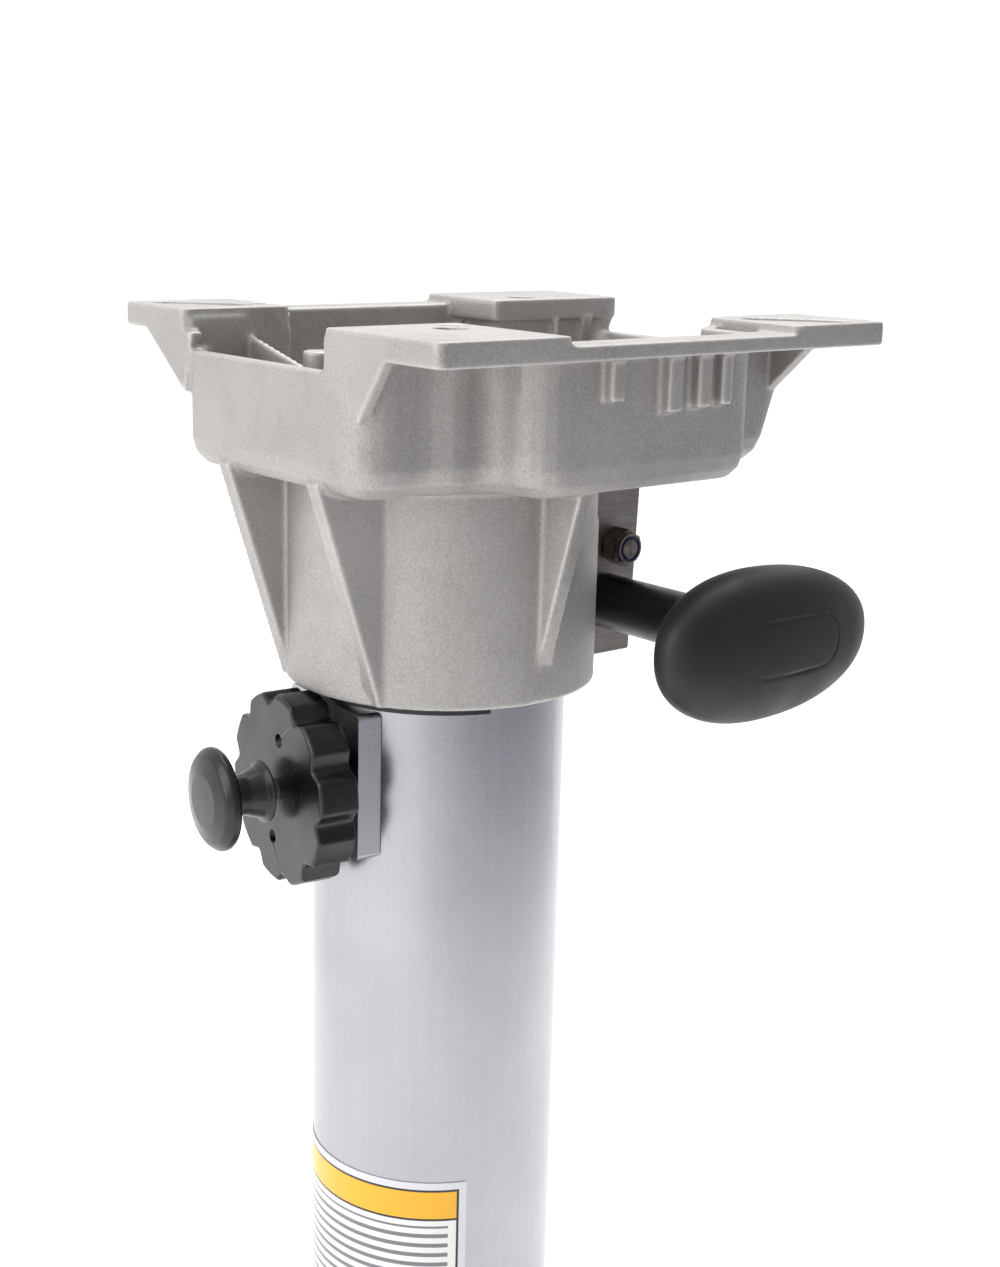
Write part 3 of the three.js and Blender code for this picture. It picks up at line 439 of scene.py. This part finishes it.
# pieces that keep the frame's shape: name, body, slot, material and edge radius in mm
kept = {
    "outer_tube": ("columnTube", "base", "anodised_aluminium", anodised, 0.5),
    "column_top_bush": ("columnTopBush", "base", "black_nylon", blackNylon, 0.3),
    "clamp_block": ("clampBlock", "base", "anodised_aluminium", anodised, 0.5),
    "block_screw_upper": ("blockScrewUpper", "base", "zinc_steel", zinc, 0.15),
    "block_screw_lower": ("blockScrewLower", "base", "zinc_steel", zinc, 0.15),
    "clamp_nut": ("clampNut", "base", "zinc_steel", zinc, 0.2),
    "base_setscrew_1": ("baseSetscrew1", "base", "zinc_steel", zinc, 0.2),
    "base_setscrew_2": ("baseSetscrew2", "base", "zinc_steel", zinc, 0.2),
    "base_setscrew_3": ("baseSetscrew3", "base", "zinc_steel", zinc, 0.2),
    "base_flange": ("baseFlange", "base", "cast_aluminium", castAluminium, 0.8),
    "slide_tube": ("slideTube", "post", "anodised_aluminium", anodised, 0.3),
    "post_foot_bush": ("postFootBush", "post", "black_nylon", blackNylon, 0.3),
    "swivel_hub": ("swivelHub", "post", "cast_aluminium", castAluminium, 0.4),
    "lock_ring": ("lockRing", "post", "stainless_steel", stainless, 0.3),
    "hub_cross_pin": ("hubCrossPin", "post", "zinc_steel", zinc, 0.2),
    "spindle_bolt": ("spindleBolt", "post", "zinc_steel", zinc, 0.4),
    "spindle_washer": ("spindleWasher", "post", "stainless_steel", stainless, 0.25),
    "thrust_washer": ("thrustWasher", "seat_mount", "white_nylon", whiteNylon, 0.2),
    "spindle_bush": ("spindleBush", "seat_mount", "black_nylon", blackNylon, 0.2),
    "skirt_liner_proud_half": ("skirtLinerProud", "seat_mount", "black_nylon", blackNylon, 0.2),
    "skirt_liner_flush_half": ("skirtLinerFlush", "seat_mount", "black_nylon", blackNylon, 0.2),
    "pivot_bush": ("pivotBush", "seat_mount", "black_nylon", blackNylon, 0.15),
    "pivot_bolt": ("pivotBolt", "seat_mount", "zinc_steel", zinc, 0.3),
    "pivot_locknut": ("pivotLocknut", "seat_mount", "zinc_steel", zinc, 0.35),
    "locknut_insert": ("locknutInsert", "seat_mount", "blue_nylon", blueNylon, 0.25),
    "lever_plate": ("leverPlate", "lever", "stainless_steel", stainless, 0.35),
    "lever_tube": ("leverTube", "lever", "black_coated_steel", blackTube, 0.4),
    "clamp_shoe": ("clampShoe", "clamp_screw", "brass", brass, 0.3),
    "clamp_stem": ("clampStem", "clamp_handle", "zinc_steel", zinc, 0.3),
    "lock_pin": ("lockPin", "pull_pin", "stainless_steel", stainless, 0.3),
}
for nodeName, (name, body, slotName, finish, edge) in kept.items():
    remade(nodeName, name, body, slotName, finish, edge)
for nodeName in ("lever_spring", "pin_spring"):
    nodes[nodeName].data.materials.clear()
    nodes[nodeName].data.materials.append(wire)
print("plain pieces made")


knobAxis = Vector(joints["clamp_knob_turn"]["axis"]).normalized()
knobOrigin = Vector((0, 0, joints["clamp_knob_turn"]["pos_m"][2]))
knobPlace = axisPlace(knobAxis, knobOrigin)

# sizes in mm and the phase in degrees; sharpness is the power that narrows each dip
clampKnob = {
    "lobes": 10, "dip": 2.8, "sharpness": 1.3, "edge": 1.3, "boss": 3.0,
    "holeRadius": 2.0, "holeRise": 14.6, "holeAside": 2.0, "phase": 9,
    "stepsPerLobe": 24, "edgeSteps": 4, "overrun": 5,
}


def lobedRing(radius, inset, out):
    ring = []
    count = clampKnob["lobes"] * clampKnob["stepsPerLobe"]
    for i in range(count):
        turn = 360 * i / count
        dip = max(0, math.cos(math.radians(turn * clampKnob["lobes"]))) ** clampKnob["sharpness"]
        r = radius - clampKnob["dip"] * mm * dip - inset
        angle = math.radians(turn + clampKnob["phase"])
        ring.append(knobPlace @ Vector((-r * math.cos(angle), r * math.sin(angle), out)))
    return ring


def makeClampKnob():
    radius = radiusAbout("clamp_knob", knobAxis, knobOrigin)
    back, front = reach("clamp_knob", knobAxis, knobOrigin)
    face = front - clampKnob["boss"] * mm
    edge = clampKnob["edge"] * mm
    turns = [math.pi / 2 * s / clampKnob["edgeSteps"] for s in range(clampKnob["edgeSteps"] + 1)]
    rings = []
    for a in turns:
        rings.append(lobedRing(radius, edge * (1 - math.sin(a)), back + edge * (1 - math.cos(a))))
    for a in turns:
        rings.append(lobedRing(radius, edge * (1 - math.cos(a)), face - edge * (1 - math.sin(a))))
    knob = skin("clampKnob", rings, angle=40)
    overrun = clampKnob["overrun"] * mm
    r = clampKnob["holeRadius"] * mm
    cutters = []
    for side in (-1, 1):
        x, y = clampKnob["holeAside"] * side * mm, clampKnob["holeRise"] * side * mm
        hole = knobPlace @ Matrix.Translation((x, y, 0))
        cutters.append(turned("hole", [(r, back - overrun), (r, front + overrun)], hole, 32))
    combine(knob, "DIFFERENCE", cutters)
    return knob, front


knobBody, bossFace = makeClampKnob()
settle(knobBody, "clamp_handle", "black_moulding", knobBlack, "clamp_knob")
knobBody.modifiers.new("flatFaces", "WEIGHTED_NORMAL")

pullKnob = {
    # radius, distance in front of the clamp knob's boss and corner radius, from foot to crown
    "profile": [
        (0, 0.8), (9.4, 0.8, 0.6), (7.4, 2.8, 3), (5.9, 7, 3), (5.8, 12.2, 1), (11.5, 12.7, 1),
        (14.5, 14.0, 1.6), (14.5, 15.9, 2.2), (12.6, 17.9, 3), (7.5, 19.1, 6), (0, 19.2),
    ],
}


def makePullKnob():
    profile = []
    for r, out, *corner in pullKnob["profile"]:
        profile.append((r * mm, bossFace + out * mm, *[c * mm for c in corner]))
    piece = turned("pullKnob", rounded(profile, 6), knobPlace, 96, angle=50)
    return settle(piece, "pull_pin", "black_moulding", knobBlack, "pull_knob")


makePullKnob()
print("knobs made")


# sizes in mm; frontFlat and taper are shares, a power of 2 would give an ellipsoid, and the
# two slacks hold its front and its boss back from the ends of the frame's own paddle
paddle = {
    "half": (39.4, 14.4, 21.2), "power": 2.2, "frontFlat": 0.82, "taper": 0.08, "frontSlack": 0.05,
    "bossWall": 4.4, "bossEdge": 1.5, "bossSlack": 0.1, "boreGap": 0.3, "boreOverrun": 5,
    "trackLength": 37, "trackHeight": 15, "trackDepth": 0.4, "trackWidth": 0.8, "trackRise": 1,
    "trackFade": 12,
}


def makePaddle():
    low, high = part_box("paddle_knob")
    tubeLow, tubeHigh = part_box("lever_tube")
    half = Vector(paddle["half"]) * mm
    front = half.y * paddle["frontFlat"]
    slack = paddle["frontSlack"] * mm
    centre = Vector(((low.x + high.x) / 2, low.y + front + slack, (low.z + high.z) / 2))
    around, along = 200, 320
    rings = []
    for i in range(1, along):
        u = -math.cos(math.pi * i / along)
        size = math.sqrt(1 - u * u)
        ring = []
        for j in range(around):
            a = 2 * math.pi * j / around
            unit = (u, math.cos(a) * size, math.sin(a) * size)
            full = sum(abs(v) ** paddle["power"] for v in unit) ** (-1 / paddle["power"])
            x, y, z = (v * full for v in unit)
            depth = front if y < 0 else half.y
            ring.append(centre + Vector((x * half.x, y * depth, z * half.z * (1 - paddle["taper"] * x))))
        rings.append(ring)
    piece = skin("paddleKnob", rings, angle=60)
    # the shallow track moulded round the middle of its face
    middle = Vector((centre.x, 0, centre.z + paddle["trackRise"] * mm))
    bend = paddle["trackHeight"] / 2 * mm
    run = paddle["trackLength"] / 2 * mm - bend
    width = paddle["trackWidth"] / 2 * mm
    for vertex in piece.data.vertices:
        if vertex.co.y > centre.y:
            continue
        x, z = vertex.co.x - middle.x, vertex.co.z - middle.z
        away = math.hypot(max(0, abs(x) - run), z) - bend
        fade = min(1, max(0, (x + run + bend) / (paddle["trackFade"] * mm)))
        if abs(away) < width:
            share = 0.5 + 0.5 * math.cos(math.pi * away / width)
            vertex.co.y += paddle["trackDepth"] * mm * fade * share
    # the boss at its back, and the blind bore that takes the lever's tube
    tube = Vector(((tubeLow.x + tubeHigh.x) / 2, 0, (tubeLow.z + tubeHigh.z) / 2))
    tubeRadius = (tubeHigh.x - tubeLow.x) / 2
    place = axisPlace((0, 1, 0), tube)
    bossRadius = tubeRadius + paddle["bossWall"] * mm
    bossEnd = high.y - paddle["bossSlack"] * mm
    edge = paddle["bossEdge"] * mm
    bossProfile = [(0, centre.y), (bossRadius, centre.y), (bossRadius, bossEnd, edge), (0, bossEnd)]
    combine(piece, "UNION", [turned("boss", rounded(bossProfile, 5), place, 96)])
    gap = paddle["boreGap"] * mm
    boreEnd = high.y + paddle["boreOverrun"] * mm
    boreProfile = [(tubeRadius + gap, tubeLow.y - gap), (tubeRadius + gap, boreEnd)]
    combine(piece, "DIFFERENCE", [turned("bore", boreProfile, place, 96)])
    shadeByAngle(piece.data, 40)
    return settle(piece, "lever", "black_moulding", paddleBlack, "paddle_knob")


makePaddle()
print("paddle made")


# sizes in mm; a bar runs from barStart to barEnd of its row's height
label = {
    "margin": 2.2, "border": 0.7, "band": 8.6, "barGap": 3.1, "barStart": 0.3, "barEnd": 0.72,
    "barInset": 2.4,
}


def printedFilm():
    # clear film printed in solid inks: an amber band, a dark outline, pale ground, and plain grey bars
    shader = {"Roughness": 0.32, "IOR": 1.5, "Coat Weight": 0.2}
    material, tree, surface, place = newMaterial("printedFilm", shader)
    low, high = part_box("notice_label")
    radius = radiusAbout("notice_label", (0, 0, 1))
    # the angle is taken from the film's own middle, so that it never jumps
    points = vertices("notice_label")[:, :2]
    middle = points.mean(axis=0) / np.linalg.norm(points.mean(axis=0))
    angles = np.arctan2(points[:, 1] * middle[0] - points[:, 0] * middle[1], points @ middle)
    start, end = float(angles.min()), float(angles.max())
    width, height = (end - start) * radius / mm, (high.z - low.z) / mm
    turn = -math.atan2(middle[1], middle[0])
    faced = addNode(tree, "VectorRotate", {"Vector": place, "Angle": turn}, rotation_type="Z_AXIS")
    ahead = addNode(tree, "SeparateXYZ", {"Vector": faced}, "X")
    aside = addNode(tree, "SeparateXYZ", {"Vector": faced}, "Y")
    up = addNode(tree, "SeparateXYZ", {"Vector": faced}, "Z")
    angle = addNode(tree, "Math", {0: aside, 1: ahead}, operation="ARCTAN2")
    across = addNode(tree, "MapRange", {0: angle, 1: start, 2: end, 3: width, 4: 0.0}, clamp=False)
    down = addNode(tree, "MapRange", {0: up, 1: low.z, 2: high.z, 3: height, 4: 0.0}, clamp=False)
    fromRight = addNode(tree, "Math", {0: width, 1: across}, operation="SUBTRACT")
    fromFoot = addNode(tree, "Math", {0: height, 1: down}, operation="SUBTRACT")
    sides = addNode(tree, "Math", {0: across, 1: fromRight}, operation="MINIMUM")
    ends = addNode(tree, "Math", {0: down, 1: fromFoot}, operation="MINIMUM")
    edge = addNode(tree, "Math", {0: sides, 1: ends}, operation="MINIMUM")
    outline = label["margin"] + label["border"]
    bandFoot = outline + label["band"]
    inked = addNode(tree, "Math", {0: edge, 1: label["margin"]}, operation="GREATER_THAN")
    inside = addNode(tree, "Math", {0: edge, 1: outline}, operation="GREATER_THAN")
    inBand = addNode(tree, "Math", {0: down, 1: bandFoot}, operation="LESS_THAN")
    underBand = addNode(tree, "Math", {0: down, 1: bandFoot + label["border"]}, operation="LESS_THAN")
    rows = addNode(tree, "Math", {0: down, 1: 1 / label["barGap"]}, operation="MULTIPLY")
    row = addNode(tree, "Math", {0: rows}, operation="FRACT")
    below = addNode(tree, "Math", {0: row, 1: label["barStart"]}, operation="GREATER_THAN")
    above = addNode(tree, "Math", {0: row, 1: label["barEnd"]}, operation="LESS_THAN")
    clear = addNode(tree, "Math", {0: edge, 1: outline + label["barInset"]}, operation="GREATER_THAN")
    lower = addNode(tree, "Math", {0: down, 1: bandFoot + label["barInset"]}, operation="GREATER_THAN")
    bar = addNode(tree, "Math", {0: below, 1: above}, operation="MULTIPLY")
    block = addNode(tree, "Math", {0: clear, 1: lower}, operation="MULTIPLY")
    bar = addNode(tree, "Math", {0: bar, 1: block}, operation="MULTIPLY")
    colour = addNode(tree, "Mix", {0: bar, 6: linear("#e9e8e6"), 7: linear("#77767a")}, 2, data_type="RGBA")
    colour = addNode(tree, "Mix", {0: underBand, 6: colour, 7: linear("#1a1a1a")}, 2, data_type="RGBA")
    colour = addNode(tree, "Mix", {0: inBand, 6: colour, 7: linear("#f0b21a")}, 2, data_type="RGBA")
    colour = addNode(tree, "Mix", {0: inside, 6: linear("#1a1a1a"), 7: colour}, 2, data_type="RGBA")
    colour = addNode(tree, "Mix", {0: inked, 6: linear("#d9d8de"), 7: colour}, 2, data_type="RGBA")
    tree.links.new(colour, surface.inputs["Base Color"])
    return material


nodes["notice_label"].data.materials.clear()
nodes["notice_label"].data.materials.append(printedFilm())
print("label made")


# lengths in metres, angles in degrees, the lens and its sensor in mm; dimmest and brightest
# are strengths of the room's light
studio = {
    "floor": 40.0, "floorGap": 0.0005,
    "camera": (-0.3289, -0.4128, 0.4436), "turn": (76.26, -1.41, -40.08), "lens": 53.21,
    "dimSide": (0.366, -0.931, 0), "dimmest": 0.3, "brightest": 1.06,
    "screenDistance": 0.7, "screenHeight": 0.42, "screenSpan": 150, "screenSteps": 40,
    "screenFoot": 0.001, "sensor": 36, "nearest": 0.01,
}


def makeStage():
    side = studio["floor"] / 2
    mesh = bpy.data.meshes.new("studioFloor")
    corners = [(-side, -side, 0), (side, -side, 0), (side, side, 0), (-side, side, 0)]
    mesh.from_pydata(corners, [], [(0, 1, 2, 3)])
    mesh.materials.append(mattWhitePaint())
    floor = newPiece("studioFloor", mesh)
    floor.location.z = -studio["floorGap"]
    world = bpy.data.worlds.new("studioWorld")
    world.use_nodes = True
    tree = world.node_tree
    # the room is white but for one side, where it falls to grey
    towards = addNode(tree, "TexCoord", {}, "Generated")
    side = addNode(tree, "VectorMath", {0: towards, 1: studio["dimSide"]}, "Value", operation="DOT_PRODUCT")
    strength = addNode(
        tree, "MapRange", {0: side, 1: -0.3, 2: 0.95, 3: studio["brightest"], 4: studio["dimmest"]},
        interpolation_type="SMOOTHSTEP",
    )
    tree.nodes["Background"].inputs["Color"].default_value = (1, 1, 1, 1)
    tree.links.new(strength, tree.nodes["Background"].inputs["Strength"])
    bpy.context.scene.world = world


def mattGreyCloth():
    # a dull grey, darker towards its middle
    material, tree, surface, place = newMaterial("mattGreyCloth", {"Roughness": 0.9})
    side = addNode(tree, "VectorMath", {0: place, 1: studio["dimSide"]}, "Value", operation="DOT_PRODUCT")
    distance = studio["screenDistance"]
    far = addNode(tree, "MapRange", {0: side, 1: 0.25 * distance, 2: 0.95 * distance})
    colour = addNode(tree, "Mix", {0: far, 6: linear("#e4e4e6"), 7: linear("#8c8c92")}, 2, data_type="RGBA")
    tree.links.new(colour, surface.inputs["Base Color"])
    return material


def greyScreen():
    # a curved screen on the dim side, hidden from the camera, which shapes what the tube
    # and the black mouldings reflect
    middle = math.atan2(studio["dimSide"][1], studio["dimSide"][0])
    points, faces = [], []
    steps = studio["screenSteps"]
    for i in range(steps + 1):
        angle = middle + math.radians(studio["screenSpan"]) * (i / steps - 0.5)
        x, y = studio["screenDistance"] * math.cos(angle), studio["screenDistance"] * math.sin(angle)
        points += [(x, y, studio["screenFoot"]), (x, y, studio["screenHeight"])]
        if i:
            faces.append((2 * i - 2, 2 * i, 2 * i + 1, 2 * i - 1))
    mesh = bpy.data.meshes.new("greyScreen")
    mesh.from_pydata(points, [], faces)
    mesh.materials.append(mattGreyCloth())
    screen = newPiece("greyScreen", mesh)
    screen.visible_camera = False


def makeCamera():
    lens = bpy.data.cameras.new("studioCamera")
    lens.lens = studio["lens"]
    lens.sensor_width = studio["sensor"]
    lens.sensor_fit = "AUTO"
    lens.clip_start = studio["nearest"]
    camera = bpy.data.objects.new("studioCamera", lens)
    camera.location = studio["camera"]
    camera.rotation_euler = [math.radians(a) for a in studio["turn"]]
    bpy.context.scene.collection.objects.link(camera)
    bpy.context.scene.camera = camera


# lengths in metres and power in watts
softBoxes = {
    "keyLeft": {"place": (-1.3, 0.15, 0.9), "aim": (0, 0, 0.3), "width": 0.9, "height": 1.2, "power": 7},
    "topLight": {"place": (0.5, 0.3, 1.8), "aim": (0, 0, 0.35), "width": 1.2, "height": 1.2, "power": 20},
}


def softBox(name, place, aim, width, height, power):
    light = bpy.data.lights.new(name, "AREA")
    light.shape = "RECTANGLE"
    light.size = width
    light.size_y = height
    light.energy = power
    box = bpy.data.objects.new(name, light)
    box.location = place
    box.rotation_euler = (Vector(aim) - Vector(place)).to_track_quat("-Z", "Y").to_euler()
    bpy.context.scene.collection.objects.link(box)


makeStage()
greyScreen()
makeCamera()
for name, values in softBoxes.items():
    softBox(name, **values)
bpy.context.scene.view_settings.view_transform = "Standard"
print("stage made")
